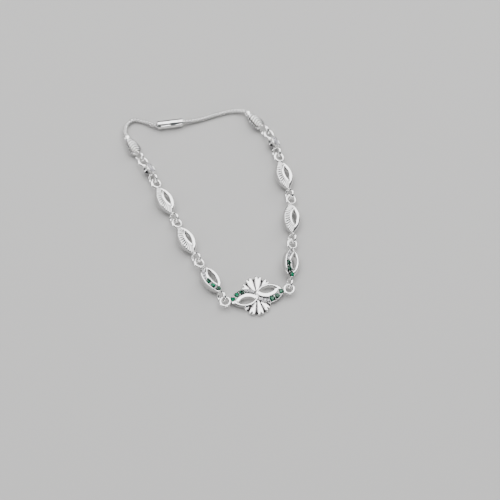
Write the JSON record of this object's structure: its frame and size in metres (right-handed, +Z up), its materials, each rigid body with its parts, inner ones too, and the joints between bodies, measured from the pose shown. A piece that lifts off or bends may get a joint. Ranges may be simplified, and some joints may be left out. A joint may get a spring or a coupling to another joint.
{
  "type": "bracelet",
  "caption": "Link bracelet: a fluted centrepiece with two open leaves, green and clear stones, open oval links, bezel links, ribbed beads and a back chain, lying closed.",
  "frame": {"origin": "on the table under the middle of the centrepiece, on its flat back", "axes": "+Z up off the table, the loop of the bracelet opens from the centrepiece along +Y, +X to the wearer's right arm of the loop as laid"},
  "size_m": [0.0511, 0.0654, 0.0043],
  "materials": {
    "silver": "polished white silver",
    "green_stone": "faceted deep green stone",
    "clear_stone": "faceted clear stone"
  },
  "bodies": {
    "root": {"centrepiece": "silver", "left_leaf_green_stone_1": "green_stone", "left_leaf_green_stone_2": "green_stone", "left_leaf_green_stone_3": "green_stone", "left_leaf_small_stone_1": "clear_stone", "left_leaf_small_stone_2": "clear_stone", "left_leaf_small_stone_3": "clear_stone", "right_leaf_green_stone_1": "green_stone", "right_leaf_green_stone_2": "green_stone", "right_leaf_green_stone_3": "green_stone", "right_leaf_small_stone_1": "clear_stone", "right_leaf_small_stone_2": "clear_stone", "right_leaf_small_stone_3": "clear_stone", "left_green_link": "silver", "left_green_link_green_stone_1": "green_stone", "left_green_link_green_stone_2": "green_stone", "left_green_link_green_stone_3": "green_stone", "left_green_link_small_stone_1": "clear_stone", "left_green_link_small_stone_2": "clear_stone", "left_green_link_small_stone_3": "clear_stone", "left_inner_ribbed_link": "silver", "left_outer_ribbed_link": "silver", "left_bezel": "silver", "left_bezel_stone": "clear_stone", "left_end_bead": "silver", "left_chain": "silver", "right_green_link": "silver", "right_green_link_green_stone_1": "green_stone", "right_green_link_green_stone_2": "green_stone", "right_green_link_green_stone_3": "green_stone", "right_green_link_small_stone_1": "clear_stone", "right_green_link_small_stone_2": "clear_stone", "right_green_link_small_stone_3": "clear_stone", "right_inner_ribbed_link": "silver", "right_outer_ribbed_link": "silver", "right_bezel": "silver", "right_bezel_stone": "clear_stone", "right_end_bead": "silver", "right_chain": "silver", "clasp": "silver"}
  },
  "joints": []
}
